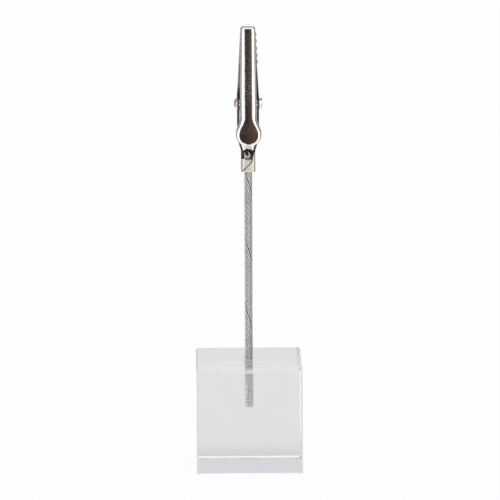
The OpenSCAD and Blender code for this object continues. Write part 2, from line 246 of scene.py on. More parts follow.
acrylic, shader, place = new_material("polished_acrylic", Transmission_Weight=1, IOR=ACRYLIC_IOR)
smear = place.noise(9 * MM, 4, 0.6).rise(0.52, 0.72)
hairlines = place.stretched((0.3, 0.2, 0.7), (1, 12, 1)).noise(1.2 * MM, 2).rise(0.62, 0.8)
casting = place.noise(7 * MM, 1)
feed(
    shader,
    Base_Color=smear.blend(ACRYLIC_SHADE_TINT, ACRYLIC_SMEAR_SHADE_TINT),
    Roughness=0.002 + 0.006 * smear + 0.006 * hairlines,
    Normal=casting.bumps(0.004 * MM))

drilled, shader, place = new_material("drilled_wall", IOR=ACRYLIC_IOR, Specular_IOR_Level=0.1)
drill_rings = place.stretched((0, 0, 0), (1, 1, 14)).noise(3 * MM, 2)
feed(
    shader,
    Base_Color=drill_rings.blend((0.86, 0.87, 0.9, 1), (0.95, 0.95, 0.96, 1)),
    Roughness=0.4 + 0.3 * drill_rings,
    Alpha=0.01 + 0.05 * drill_rings,
    Normal=drill_rings.bumps(0.01 * MM))

buffed, shader, place = new_material(
    "buffed_chamfer", Transmission_Weight=1, IOR=ACRYLIC_IOR, Base_Color=ACRYLIC_SHADE_TINT)
scrape = place.noise(0.6 * MM, 3, 0.6)
feed(shader, Roughness=0.2 + 0.1 * scrape, Normal=scrape.bumps(0.003 * MM))

scraped, shader, place = new_material("scraped_chamfer", Transmission_Weight=0.25, IOR=ACRYLIC_IOR)
# Painted light: the scraped chamfer turns white towards the block's right side.
painted_light_on_right = place.along("X").rise(HALF_BLOCK - 1.5 * BLOCK_CHAMFER, HALF_BLOCK - BLOCK_CHAMFER)
scrape = place.noise(0.6 * MM, 3, 0.6)
scraped_tint = scrape.blend((0.76, 0.765, 0.77, 1), (0.81, 0.81, 0.815, 1))
feed(
    shader,
    Base_Color=painted_light_on_right.blend(scraped_tint, WHITE),
    Roughness=0.25 + 0.1 * scrape,
    Normal=scrape.bumps(0.003 * MM))

stands_for(block, "clear_block", "block", "acrylic", acrylic, drilled, buffed, scraped)
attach(block, "holder")


# The adhesive: a clear bond that fills the hole round the rope and climbs it in a small fillet on top.
# It cures in place, so it wets both the acrylic and the wires, and holds a few cloudy bubbles.
WIRE_D = 0.35
WIRE_GAP = 0.02
ROPE_R = 0.923
BOND_BORE = (ROPE_R + WIRE_GAP) * MM
BOND_R = HOLE_R - 0.004 * MM
BOND_SIDES = 72
WELD = 0.001 * MM
FILLET_H = 0.35 * MM
ARC_STEP = math.radians(15)


def turned(profile, steps):
    """Draws a closed profile of radius and height by extruding one vertex, and spins it about Z."""
    piece = fresh(bpy.ops.mesh.primitive_plane_add, size=MM)
    shape(piece)
    bpy.ops.mesh.merge(type="CENTER")
    (radius, height), *others = profile
    bpy.ops.transform.translate(value=(radius, 0, height))
    for next_radius, next_height in others:
        step = (next_radius - radius, 0, next_height - height)
        bpy.ops.mesh.extrude_vertices_move(TRANSFORM_OT_translate={"value": step})
        radius, height = next_radius, next_height
    bpy.ops.mesh.select_all(action="SELECT")
    bpy.ops.mesh.spin(steps=steps, angle=2 * math.pi, center=(0, 0, 0), axis=(0, 0, 1))
    bpy.ops.mesh.select_all(action="SELECT")
    bpy.ops.mesh.remove_doubles(threshold=WELD)
    bpy.ops.mesh.normals_make_consistent(inside=False)
    shaped()
    return piece


fillet_top = BLOCK_SIDE + FILLET_H
fillet = []
for part in range(7):
    turn = ARC_STEP * part
    fillet.append((
        HOLE_R - (HOLE_R - BOND_BORE - WIRE_GAP * MM) * math.sin(turn),
        fillet_top - FILLET_H * math.cos(turn)))
bond = turned(
    [(BOND_BORE, hole_bottom), (BOND_R, hole_bottom), (BOND_R, BLOCK_SIDE)] + fillet
    + [(BOND_BORE, fillet_top), (BOND_BORE, hole_bottom)], BOND_SIDES)
smooth(bond, 40)

cured_bond, shader, place = new_material("cured_bond", IOR=ACRYLIC_IOR, Specular_IOR_Level=0.3)
cloud = place.noise(0.9 * MM, 3).rise(0.45, 0.75)
feed(
    shader,
    Base_Color=cloud.blend((0.9, 0.9, 0.97, 1), (0.96, 0.96, 0.99, 1)),
    Roughness=0.12 + 0.25 * cloud,
    Alpha=0.06 + 0.1 * cloud,
    Normal=cloud.bumps(0.01 * MM))
stands_for(bond, "bond_sleeve", "adhesive", "bond", cured_bond)
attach(bond, "holder")


# The stem: a rope of 19 steel wires, one straight core, six round it and twelve in the outer lay.
# The wires are drawn bright and laid on a strander, and one gap in the outer lay stays open. The
# top is sheared unevenly. In the block the bond wets the wires in patches, with froth at its top.
INNER_WIRES = 6
OUTER_WIRES = 12
INNER_R = 0.378
OUTER_R = ROPE_R - WIRE_D / 2
INNER_LAY = 11
OUTER_LAY = 16
STEM_LEN = 44.9
CRIMP_LEN = 4.6
ROPE_OVER = 0.2
ROPE_BOTTOM = hole_bottom / MM
CRIMP_BOTTOM = BLOCK_SIDE / MM + STEM_LEN
ROPE_TOP = CRIMP_BOTTOM + CRIMP_LEN + ROPE_OVER
TIGHT_GAP = math.radians(1.1)
OPEN_GAP_TURN = math.radians(15)
INNER_CUTS = (0.6, 0.85, 1, 0.75, 0.9, 0)
OUTER_CUTS = (1, 0.85, 0.6, 0.7, 0.95, 0.6, 1, 0.8, 0.55, 0, 0.9, 0.75)
LONGEST_CUT = 0.9
CUT_LEAN = 0.25
CORE_ROUND = 0.04 * MM
WIRE_SIDES = 14
CORE_SIDES = 24
LAY_STEPS = 56
GROOVE_SHADE_START = 0.89 * MM
GROOVE_SHADE_FULL = 0.79 * MM
FROTH_START = BLOCK_SIDE - 3 * MM
FROTH_FULL = BLOCK_SIDE - 2 * MM


def laid_wire(radius, lay):
    """One wire of a layer: a slanted round section, screwed up the rope by whole turns."""
    slant = math.atan(2 * math.pi * radius / abs(lay))
    wire = fresh(
        bpy.ops.mesh.primitive_circle_add, vertices=WIRE_SIDES, radius=WIRE_D / 2 * MM,
        location=(radius * MM, 0, ROPE_BOTTOM * MM))
    wire.scale = (1, 1 / math.cos(slant), 1)
    bpy.ops.object.transform_apply(location=True, scale=True)
    turns = math.ceil((ROPE_TOP - ROPE_BOTTOM) / abs(lay))
    applied(
        wire, "SCREW", axis="Z", angle=math.copysign(2 * math.pi, lay), screw_offset=abs(lay) * MM,
        iterations=turns, steps=LAY_STEPS, render_steps=LAY_STEPS, use_merge_vertices=False)
    return wire


def cut_wire(wire, turn, cut):
    """A copy of a wire, turned to its place in the layer, sheared to length and closed at both ends."""
    copy = wire.copy()
    copy.data = wire.data.copy()
    bpy.context.scene.collection.objects.link(copy)
    copy.data.transform(Matrix.Rotation(turn, 4, "Z"))
    shape(copy)
    bpy.ops.mesh.remove_doubles(threshold=WELD)
    lean = (CUT_LEAN * math.cos(3 * turn), CUT_LEAN * math.sin(2 * turn), 1)
    cut_point = (math.cos(turn) * OUTER_R * MM, math.sin(turn) * OUTER_R * MM, (ROPE_TOP - cut) * MM)
    rope_end = (0, 0, ROPE_TOP * MM)
    for point, normal in ((cut_point, lean), (rope_end, (0, 0, 1))):
        bpy.ops.mesh.select_all(action="SELECT")
        bpy.ops.mesh.bisect(plane_co=point, plane_no=normal, use_fill=True, clear_outer=True)
    bpy.ops.mesh.select_all(action="SELECT")
    bpy.ops.mesh.fill_holes(sides=0)
    bpy.ops.mesh.select_all(action="SELECT")
    bpy.ops.mesh.normals_make_consistent(inside=False)
    shaped()
    smooth(copy, 50)
    return copy


drawn_wire, shader, place = new_material("drawn_wire")
stain = place.noise(1.6 * MM, 4, 0.6).rise(0.45, 0.75)
grease = place.stretched((0, 0, 0), (1, 1, 0.25)).noise(0.22 * MM, 3, 0.6)
drawing = place.stretched((0, 0, 0.2), (1, 1, 0.06)).noise(0.05 * MM, 2)
flat_place = place.node("ShaderNodeVectorMath", {"operation": "MULTIPLY"}, {0: place, 1: (1, 1, 0)})
from_axis = place.node("ShaderNodeVectorMath", {"operation": "LENGTH"}, {0: flat_place}, "Value")
# Painted shade: the wires turn dark near the rope's core, in the grooves between the outer wires.
painted_groove_shade = from_axis.rise(GROOVE_SHADE_START, GROOVE_SHADE_FULL)
bright_wire = (0.55 * stain + 0.45 * grease).blend((0.7, 0.695, 0.68, 1), (0.52, 0.515, 0.5, 1))
height = place.along("Z")
bonded = height.rise(BLOCK_SIDE, BLOCK_SIDE - 0.1 * MM)
froth = bonded * height.rise(FROTH_START, FROTH_FULL)
wetting = place.noise(0.42 * MM, 2, 0.6).rise(0.52, 0.6)
wetted_wire = wetting.blend((0.98, 0.98, 0.99, 1), (0.46, 0.46, 0.5, 1))
bonded_wire = froth.blend(wetted_wire, (0.97, 0.97, 0.98, 1))
feed(
    shader,
    Base_Color=bonded.blend(painted_groove_shade.blend(bright_wire, (0.1, 0.098, 0.094, 1)), bonded_wire),
    Metallic=1 - 0.85 * froth,
    Roughness=0.16 + 0.12 * grease + 0.1 * stain + 0.2 * painted_groove_shade + 0.25 * bonded,
    Normal=drawing.bumps(0.004 * MM))

core = fresh(
    bpy.ops.mesh.primitive_cylinder_add, vertices=CORE_SIDES, radius=WIRE_D / 2 * MM,
    depth=(ROPE_TOP - ROPE_BOTTOM) * MM, location=(0, 0, (ROPE_TOP + ROPE_BOTTOM) / 2 * MM))
bpy.ops.object.transform_apply(location=True)
shape(core)
pick(core, lambda co: co.z > BLOCK_SIDE)
bpy.ops.mesh.bevel(offset=CORE_ROUND, segments=2, affect="EDGES")
shaped()
smooth(core, 50)
stands_for(core, "rope_core", "core_wire", "wire", drawn_wire)
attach(core, "holder")

inner_pattern = laid_wire(INNER_R, INNER_LAY)
for number in range(1, INNER_WIRES + 1):
    turn = 2 * math.pi * number / INNER_WIRES
    wire = cut_wire(inner_pattern, turn, LONGEST_CUT * INNER_CUTS[number - 1])
    stands_for(wire, f"rope_inner_{number}", f"inner_wire_{number}", "wire", drawn_wire)
    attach(wire, "holder")
bpy.data.objects.remove(inner_pattern)

outer_pattern = laid_wire(OUTER_R, -OUTER_LAY)
outer_slant = math.atan(2 * math.pi * OUTER_R / OUTER_LAY)
wire_angle = 2 * math.asin(WIRE_D / math.cos(outer_slant) / 2 / OUTER_R)
wire_pitch = wire_angle + TIGHT_GAP
first_turn = OPEN_GAP_TURN + (2 * math.pi - (OUTER_WIRES - 1) * wire_pitch) / 2
for number in range(1, OUTER_WIRES + 1):
    turn = first_turn + (number - 1) * wire_pitch
    wire = cut_wire(outer_pattern, turn, LONGEST_CUT * OUTER_CUTS[number - 1])
    stands_for(wire, f"rope_outer_{number}", f"outer_wire_{number}", "wire", drawn_wire)
    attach(wire, "holder")
bpy.data.objects.remove(outer_pattern)


# The fixed jaw: one stamping of thin steel, plated with bright nickel. It is folded to a channel
# with a round nose and toothed edges, two ears for the rivet, and a tail that narrows to the crimp.
# The two tabs of the crimp are squeezed round the rope and meet along a slanting seam.
CLIP_TURN = math.radians(1)
CLIP_LEN = 34.5
NOSE_CLEAR = 0.01
JAW_LEN = 18.4
LEVER_LEN = 9.25
SHEET_T = 0.45
BITE_Y = -0.6
NOSE_DEPTH = 1.9
FIXED_DEPTH = 2.6
FLAT_W = 1.45
NOSE_R = 0.95
THUMB_BEND_R = 1.2
FIXED_BEND_R = 1
EAR_GAP = 0.15
EAR_R = 1.6
TOOTH_COUNT = 5
TOOTH_PITCH = 1.64
TOOTH_H = 0.7
LIP_LEN = 1
REAR_NOSE_DROP = 0.5
BITE_GAP = 0.22
TOOTH_SPLAY = 0.34
LEFT_SPLAY_SHARE = 0.25
THROAT_DEPTH = 0.8
CRIMP_W = 3.3
CRIMP_R = 0.9
CRIMP_CLEAR = 0.02
SEAM_W = 0.28
SEAM_FLARE = 0.16
SEAM_FLARE_SHARE = 0.12
NECK_STEP = 0.12
TAIL_LEN = 3
HANDLE_EASE = 0.45
RIVET_D = 1.6
RIVET_CLEAR = 0.02
TAIL_INSET_SHARE = 0.15
FRONT_SHARES = ((0.66, 0.295), (1, 0.44))
SEAM_SHARES = ((-0.2, -0.32), (0.09, -0.336), (0.2, -0.22), (0.374, 0.076), (0.52, 0.22), (0.66, 0.295))
SHEET_EDGE = 0.05
DARK_EDGE_LEN = 2.8
DARK_LEFT_SHIFT = 4.3

NOSE_Z = CLIP_LEN - NOSE_CLEAR
RIVET_Z = CLIP_LEN - JAW_LEN
THUMB_HALF = FLAT_W / 2 + THUMB_BEND_R
FIXED_HALF = THUMB_HALF + EAR_GAP + SHEET_T
CRIMP_BACK = ROPE_R + CRIMP_CLEAR + SHEET_T
TAIL_TOP = CRIMP_LEN + TAIL_LEN
TOOTH_TOP = NOSE_Z - LIP_LEN
TOOTH_END = TOOTH_TOP - TOOTH_COUNT * TOOTH_PITCH
# The clip is shaped in millimetres above the foot of its crimp, and this puts it on the stem.
CLIP_PLACE = (
    Matrix.Translation((0, 0, CRIMP_BOTTOM * MM))
    @ Matrix.Rotation(CLIP_TURN, 4, "Z") @ Matrix.Scale(MM, 4))
FLAT_STEPS = 10
BEND_STEPS = 10
WALL_STEPS = 6
FRONT_STEPS = 14
NOSE_STEPS = 9
FIXED_STEP = 0.5
BORE_SIDES = 48
SHEET_WELD = 0.004

nickel, shader, place = new_material("bright_nickel", Metallic=1)
crimp_top = CRIMP_BOTTOM + CRIMP_LEN
worked = place.along("Z").rise((crimp_top + 0.2) * MM, (crimp_top - 0.4) * MM)
haze = place.noise(2.4 * MM, 4, 0.6).rise(0.4, 0.8)
scuffs = place.stretched((0.2, 0.5, 0.1), (1, 1, 0.08)).noise(0.16 * MM, 3, 0.6).rise(0.6, 0.85)
peel = place.noise(0.3 * MM, 3, 0.6)
tool_marks = place.noise(0.3 * MM, 4, 0.65)
bright = haze.blend((0.94, 0.93, 0.91, 1), (0.89, 0.875, 0.85, 1))
stretched_plate = tool_marks.blend((0.9, 0.86, 0.79, 1), (0.72, 0.67, 0.6, 1))
feed(
    shader,
    Base_Color=worked.blend(bright, stretched_plate),
    Roughness=0.04 + 0.04 * haze + 0.1 * scuffs + 0.22 * worked,
    Normal=(peel + worked * tool_marks).bumps(0.018 * MM))

# The cut edges' colour is partly the sheared steel and partly painted shade: they are darkest below the
# teeth, and on the left this darkest part starts lower down.
cut_edge, shader, place = new_material("sheared_edge", Metallic=1)
shear = place.stretched((0, 0, 0), (1, 1, 0.4)).noise(0.2 * MM, 4, 0.6)
on_left = place.along("X").rise(0.5 * MM, -0.5 * MM)
teeth_bottom = CRIMP_BOTTOM + TOOTH_END
toothed = (place.along("Z") + DARK_LEFT_SHIFT * MM * on_left).rise(
    (teeth_bottom - DARK_EDGE_LEN) * MM, (teeth_bottom + 0.2) * MM)
bare_edge_and_shade = shear.blend((0.14, 0.11, 0.09, 1), (0.06, 0.048, 0.038, 1))
plated_edge_and_shade = shear.blend((0.58, 0.53, 0.48, 1), (0.34, 0.3, 0.26, 1))
feed(
    shader,
    Base_Color=toothed.blend(bare_edge_and_shade, plated_edge_and_shade),
    Roughness=0.3 + 0.25 * shear,
    Normal=shear.bumps(0.01 * MM))


def mix(first, second, share):
    """A value from first to second as share goes from 0 to 1."""
    return first + (second - first) * share


def clamp(value):
    return min(1, max(0, value))


def ease(value):
    """A smooth step from 0 to 1."""
    held = clamp(value)
    return held * held * (3 - 2 * held)


def on_line(corners, at):
    """The height of a line through corners of (place, height), sorted by place, at one place."""
    for (start, low), (end, high) in zip(corners, corners[1:]):
        if at <= end:
            return mix(low, high, clamp((at - start) / (end - start)))
    return corners[-1][1]


def end_round(from_tip, radius):
    """How far a round end has drawn in, at a distance from its tip."""
    if from_tip >= radius:
        return 0
    return radius - math.sqrt(max(0, radius * radius - (radius - from_tip) ** 2))


def toothed_edge(side):
    """The edge of the jaw on one side, from its nose down to its ears, as heights and depths."""
    y = BITE_Y + side * BITE_GAP / 2
    corners = [(NOSE_Z, y), (TOOTH_TOP, y)]
    for tooth in range(TOOTH_COUNT):
        corners.append((TOOTH_TOP - (tooth + 0.25) * TOOTH_PITCH, y + TOOTH_H / 2))
        corners.append((TOOTH_TOP - (tooth + 0.75) * TOOTH_PITCH, y - TOOTH_H / 2))
    corners.append((TOOTH_END, y))
    corners.append((TOOTH_END - THROAT_DEPTH, y + side * THROAT_DEPTH))
    corners.append((RIVET_Z + EAR_R + THROAT_DEPTH / 2, y + side * THROAT_DEPTH))
    for part in range(-5, 6):
        turn = ARC_STEP * part
        corners.append((RIVET_Z - EAR_R * math.sin(turn), BITE_Y - side * EAR_R * math.cos(turn)))
    corners.append((RIVET_Z - EAR_R, BITE_Y))
    return corners


def round_marks(length, steps):
    """Distances from a round tip, closer together the nearer they are to it."""
    return [length * (1 - math.cos(math.radians(90 * part / steps))) for part in range(steps + 1)]


def levels(marks, longest):
    """Sorted heights that hold every mark, with even steps no longer than given between them."""
    marks = sorted(set(round(mark, 5) for mark in marks))
    found = [marks[0]]
    for start, end in zip(marks, marks[1:]):
        steps = math.ceil((end - start) / longest)
        found += [mix(start, end, step / steps) for step in range(1, steps + 1)]
    return found


def half_channel(flat, half, back, bend, edge, side, crown):
    """Points from the middle of a channel's back, round its bend and along its wall to the edge."""
    flat = max(flat, 0)
    points = []
    for step in range(FLAT_STEPS + 1):
        share = step / FLAT_STEPS
        points.append((flat * share, back + side * crown * (1 - share * share)))
    for step in range(1, BEND_STEPS + 1):
        turn = math.radians(90 * step / BEND_STEPS)
        points.append((flat + (half - flat) * math.sin(turn), back - side * bend * (1 - math.cos(turn))))
    wall = back - side * bend
    for step in range(1, WALL_STEPS + 1):
        points.append((half, mix(wall, edge, step / WALL_STEPS)))
    return points


def splayed(points, z, tip_share):
    """Channel points with the tips of the teeth pressed outwards, as the stamping leaves them."""
    if not TOOTH_END < z < TOOTH_TOP:
        return points
    bent = []
    for number, (x, y) in enumerate(points, WALL_STEPS - len(points) + 1):
        bent.append((x + TOOTH_SPLAY * tip_share * (max(0, number) / WALL_STEPS) ** 2, y))
    return bent


def folded_sheet(rows):
    """Lays a grid over rows of points, where None marks a place with no metal, and closes its nose."""
    across = len(rows[0][1])
    piece = fresh(
        bpy.ops.mesh.primitive_grid_add, x_subdivisions=across - 1, y_subdivisions=len(rows) - 1, size=1)
    absent = set()
    for vertex in piece.data.vertices:
        column = round((vertex.co.x + 0.5) * (across - 1))
        z, points = rows[round((vertex.co.y + 0.5) * (len(rows) - 1))]
        if points[column] is None:
            absent.add(vertex.index)
        else:
            vertex.co = (*points[column], z)
    shape(piece)
    bpy.ops.mesh.select_all(action="DESELECT")
    shaped()
    for vertex in piece.data.vertices:
        vertex.select = vertex.index in absent
    bpy.ops.object.mode_set(mode="EDIT")
    bpy.ops.mesh.delete(type="VERT")
    bpy.ops.mesh.select_all(action="SELECT")
    bpy.ops.mesh.remove_doubles(threshold=SHEET_WELD)
    pick(piece, lambda co: co.z > NOSE_Z - 0.0001)
    bpy.ops.mesh.edge_face_add()
    bpy.ops.mesh.select_all(action="SELECT")
    bpy.ops.mesh.normals_make_consistent(inside=False)
    shaped()
    return piece


def plated(piece, side):
    """Thickens a folded sheet inwards, with sheared edges that are a little rounded."""
    outside = Vector((0, side * JAW_LEN / 2, RIVET_Z + JAW_LEN / 4))
    back = min(piece.data.polygons, key=lambda face: (face.center - outside).length)
    if back.normal.y * side < 0:
        shape(piece)
        bpy.ops.mesh.flip_normals()
        shaped()
    piece.data.materials.append(nickel)
    piece.data.materials.append(cut_edge)
    applied(
        piece, "SOLIDIFY", thickness=SHEET_T, offset=-1, use_even_offset=True, use_quality_normals=True,
        material_offset_rim=1)
    applied(
        piece, "BEVEL", width=SHEET_EDGE, segments=2, limit_method="ANGLE", angle_limit=math.radians(50))


def bored(piece, radius):
    """Bores both walls of a jaw for the rivet."""
    bore = fresh(
        bpy.ops.mesh.primitive_cylinder_add, vertices=BORE_SIDES, radius=radius, depth=4 * FIXED_HALF,
        location=(0, BITE_Y, RIVET_Z), rotation=(0, math.radians(90), 0))
    applied(piece, "BOOLEAN", operation="DIFFERENCE", object=bore, solver="EXACT")
    bpy.data.objects.remove(bore)


def fixed_back(z):
    """The depth of the fixed jaw's back at a height."""
    tail = CRIMP_BACK - TAIL_INSET_SHARE * SHEET_T
    if z > RIVET_Z:
        return BITE_Y + mix(FIXED_DEPTH, NOSE_DEPTH, (z - RIVET_Z) / JAW_LEN)
    return mix(tail, BITE_Y + FIXED_DEPTH, ease((z - CRIMP_LEN) / (RIVET_Z - CRIMP_LEN)))


def fixed_size(z, nose, ear, tail):
    """A width or bend of the fixed jaw, from its value at the nose, the ears and the tail."""
    if z > RIVET_Z:
        return mix(ear, nose, clamp((z - RIVET_Z - EAR_R) / (JAW_LEN - EAR_R - NOSE_R)))
    return mix(tail, ear, clamp((z - CRIMP_LEN) / TAIL_LEN))


def barrel_wall(edge):
    """Points from the middle of the barrel's back, round a corner and along its wall to an edge."""
    return half_channel(CRIMP_W / 2 - CRIMP_R, CRIMP_W / 2, CRIMP_BACK, CRIMP_R, edge, 1, 0)


def front_path(edge_x):
    """Points from the barrel's wall round its front corner and along its front to the edge of a tab."""
    flat = CRIMP_W / 2 - CRIMP_R
    quarter = math.radians(90) * CRIMP_R
    if edge_x < flat:
        length = quarter + flat - edge_x
    else:
        length = CRIMP_R * math.acos(min(1, (edge_x - flat) / CRIMP_R))
    points = []
    for step in range(1, FRONT_STEPS + 1):
        run = length * step / FRONT_STEPS
        turn = min(run, quarter) / CRIMP_R
        points.append((
            flat + CRIMP_R * math.cos(turn) - max(0, run - quarter),
            CRIMP_R - CRIMP_BACK - CRIMP_R * math.sin(turn)))
    return points


fixed_edge = toothed_edge(1)
fixed_edge += [(TAIL_TOP, BITE_Y + HANDLE_EASE), (CRIMP_LEN, 0)]
fixed_edge.sort()
left_top = FRONT_SHARES[0][0] * CRIMP_LEN
nose_marks = [NOSE_Z - mark for mark in round_marks(NOSE_R, NOSE_STEPS)]
barrel_marks = [share * CRIMP_LEN for share, _ in SEAM_SHARES[1:]]
fixed_marks = [z for z, _ in fixed_edge] + nose_marks + barrel_marks
fixed_marks += [0, left_top + SHEET_EDGE, CRIMP_LEN + NECK_STEP]
# Each row is one height: first the barrel with its two tabs, then the open channel up to the nose.
rows = []
for z in levels(fixed_marks, FIXED_STEP):
    if z <= CRIMP_LEN:
        crimped = barrel_wall(CRIMP_R - CRIMP_BACK)
        share = z / CRIMP_LEN
        if z <= left_top:
            seam = on_line(SEAM_SHARES, share) * CRIMP_W
            opened = SEAM_W / 2 + SEAM_FLARE * (1 - ease(share / SEAM_FLARE_SHARE))
            right = crimped + front_path(seam + opened)
            left = crimped + front_path(-seam + opened)
        else:
            right = crimped + front_path(on_line(FRONT_SHARES, share) * CRIMP_W)
            left = barrel_wall(0) + [None] * FRONT_STEPS
    else:
        drop = end_round(NOSE_Z - z, NOSE_R)
        width = fixed_size(z, FLAT_W / 2 + NOSE_R, FIXED_HALF, CRIMP_W / 2 - TAIL_INSET_SHARE * SHEET_T)
        bend = fixed_size(z, NOSE_R, FIXED_BEND_R, CRIMP_R)
        edge = on_line(fixed_edge, z)
        right = half_channel(width - bend, width - drop, fixed_back(z) - drop, bend - drop, edge, 1, 0)
        tip_share = clamp(0.5 - (edge - BITE_Y) / TOOTH_H)
        left = splayed(right, z, LEFT_SPLAY_SHARE * tip_share) + [None] * FRONT_STEPS
        right = splayed(right, z, tip_share) + [None] * FRONT_STEPS
    mirrored = [None if point is None else (-point[0], point[1]) for point in left]
    rows.append((z, mirrored[:0:-1] + right))
fixed_jaw = folded_sheet(rows)
plated(fixed_jaw, 1)
bored(fixed_jaw, RIVET_D / 2 + RIVET_CLEAR)
# The rear nose ends a little lower than the front one.
shape(fixed_jaw)
pick(fixed_jaw, lambda co: co.z > TOOTH_TOP)
bpy.ops.transform.resize(
    value=(1, 1, 1 - REAR_NOSE_DROP / LIP_LEN), center_override=(0, 0, TOOTH_TOP))
shaped()
fixed_jaw.data.transform(CLIP_PLACE)
smooth(fixed_jaw, 35)
stands_for(fixed_jaw, "handle_jaw", "fixed_jaw", "nickel")
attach(fixed_jaw, "holder")


# The rivet: nickel plated steel, headed cold into a dome on the left. It is pushed through the four
# ears and the spring, and its hollow end is rolled over the right ear.
HEAD_D = 2.95
HEAD_H = 0.8
ROLL_D = 2.8
ROLL_H = 0.7
ROLL_HOLE_D = 0.9
ROLL_HOLE_DEPTH = 1.3
DOME_STEPS = 12
ROLL_STEPS = 16
RIVET_SIDES = 56
RIVET_PLACE = (
    CLIP_PLACE @ Matrix.Translation((0, BITE_Y, RIVET_Z)) @ Matrix.Rotation(math.radians(90), 4, "Y"))

dome_r = ((HEAD_D / 2) ** 2 + HEAD_H ** 2) / (2 * HEAD_H)
dome_angle = math.asin(HEAD_D / 2 / dome_r)
profile = []
for step in range(DOME_STEPS + 1):
    turn = dome_angle * step / DOME_STEPS
    profile.append((dome_r * math.sin(turn), dome_r - HEAD_H - FIXED_HALF - dome_r * math.cos(turn)))
profile += [(RIVET_D / 2, -FIXED_HALF), (RIVET_D / 2, FIXED_HALF)]
roll_r = ROLL_H / 2
for step in range(ROLL_STEPS + 1):
    turn = math.radians(180 * step / ROLL_STEPS - 90)
    profile.append((
        ROLL_D / 2 - roll_r + roll_r * math.cos(turn), FIXED_HALF + roll_r + roll_r * math.sin(turn)))
lip = (ROLL_D / 2 - roll_r - ROLL_HOLE_D / 2) / 2
roll_top = FIXED_HALF + ROLL_H
for step in range(1, 7):
    turn = ARC_STEP * step
    profile.append((
        ROLL_HOLE_D / 2 + lip * (1 - math.sin(turn)), roll_top - lip * (1 - math.cos(turn))))
hole_floor = roll_top - ROLL_HOLE_DEPTH
profile += [(ROLL_HOLE_D / 2, hole_floor), (0, hole_floor - ROLL_HOLE_D / 8)]
rivet = turned([(radius * MM, height * MM) for radius, height in profile], RIVET_SIDES)
rivet.data.transform(RIVET_PLACE @ Matrix.Scale(1 / MM, 4))
smooth(rivet, 40)
stands_for(rivet, "pivot_rivet", "rivet", "nickel", nickel)
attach(rivet, "holder")


# The thumb jaw: the same nickel plated sheet, folded to a narrower channel between the fixed jaw's
# ears. Behind the rivet it bends away to a lever, whose pad is dished with a rolled rim.
THUMB_DEPTH = 3
LEVER_ANGLE = math.radians(16.5)
PAD_W = 5.9
PAD_RIM_R = 0.85
PAD_END_LEN = 2.5
PIVOT_CLEAR = 0.05
LEVER_BEND_SHARE = 0.26
BEND_SOFT_SHARE = 0.16
FLARE_SHARES = (0.31, 0.7)
SPINE_CROWN = 0.035
PAD_CROWN = 0.06
PAD_STEPS = 28
THUMB_STEP = 0.4
PAD_EDGE_STEP = 0.3
LEVER_END = RIVET_Z - LEVER_LEN
PAD_TOP = RIVET_Z - FLARE_SHARES[1] * LEVER_LEN


def thumb_back(z):
    """The depth of the thumb jaw's back at a height, with a soft bend to the lever."""
    past = RIVET_Z - z - LEVER_BEND_SHARE * LEVER_LEN
    bent = (past + math.sqrt(past * past + (BEND_SOFT_SHARE * LEVER_LEN) ** 2)) / 2
    return BITE_Y - mix(THUMB_DEPTH, NOSE_DEPTH, (z - RIVET_Z) / JAW_LEN) - math.tan(LEVER_ANGLE) * bent


def thumb_flare(z):
    """How far the lever has widened to its pad at a height, from 0 to 1."""
    return ease(((RIVET_Z - z) / LEVER_LEN - FLARE_SHARES[0]) / (FLARE_SHARES[1] - FLARE_SHARES[0]))


thumb_edge = toothed_edge(-1)
pad_marks = [LEVER_END + mark for mark in round_marks(PAD_END_LEN, PAD_STEPS)]
thumb_edge += [(z, thumb_back(z) + PAD_RIM_R) for z in levels(pad_marks + [PAD_TOP], PAD_EDGE_STEP)]
thumb_edge.sort()
pad_r = PAD_W / 2
pad_stretch = PAD_END_LEN / pad_r
rows = []
for z in levels([z for z, _ in thumb_edge] + nose_marks, THUMB_STEP):
    flare = thumb_flare(z)
    bend = mix(mix(NOSE_R, THUMB_BEND_R, ease((NOSE_Z - z) / JAW_LEN)), PAD_RIM_R, flare)
    middle = mix(FLAT_W / 2, pad_r - PAD_RIM_R, flare)
    from_pad = (z - LEVER_END) / pad_stretch
    at_nose = end_round(NOSE_Z - z, NOSE_R)
    drop = max(at_nose, end_round(from_pad, PAD_RIM_R))
    flat = max(0, middle - end_round(from_pad - PAD_RIM_R, pad_r - PAD_RIM_R))
    half = middle + bend - max(at_nose, end_round(from_pad, pad_r))
    crown = mix(SPINE_CROWN, PAD_CROWN, flare) * (flat / middle) ** 2
    right = half_channel(
        min(flat, half), half, thumb_back(z) + drop, bend - drop, on_line(thumb_edge, z), -1, crown)
    rows.append((z, [(-x, y) for x, y in right][:0:-1] + right))
thumb_jaw = folded_sheet(rows)
plated(thumb_jaw, -1)
bored(thumb_jaw, RIVET_D / 2 + PIVOT_CLEAR)
thumb_jaw.data.transform(CLIP_PLACE)
smooth(thumb_jaw, 35)
stands_for(thumb_jaw, "lever_jaw", "thumb_jaw", "nickel")
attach(thumb_jaw, "thumb_lever")


# The spring: one hard drawn steel wire, coiled twice round the rivet. One leg presses on the lever
# and the other on the back of the fixed jaw, so it holds the teeth shut.
SPRING_D = 0.4
SPRING_TURNS = 2
SPRING_GAP = 0.48
COIL_CLEAR = 0.2
LEG_GAP = 0.06
LEG_SHARES = (0.62, 0.58)
COIL_STEPS_PER_TURN = 40
LEG_STEPS = 8

coil_r = RIVET_D / 2 + COIL_CLEAR + SPRING_D / 2
leg_reach = SHEET_T + LEG_GAP + SPRING_D / 2
lever_leg = Vector((
    thumb_back(RIVET_Z - LEG_SHARES[0] * LEVER_LEN) + leg_reach - BITE_Y, -LEG_SHARES[0] * LEVER_LEN))
handle_leg = Vector((
    fixed_back(RIVET_Z - LEG_SHARES[1] * LEVER_LEN) - leg_reach - BITE_Y, -LEG_SHARES[1] * LEVER_LEN))


def touch_angle(leg, side):
    """The turn at which a straight leg leaves the coil."""
    return math.atan2(leg.y, leg.x) + side * math.acos(coil_r / leg.length)


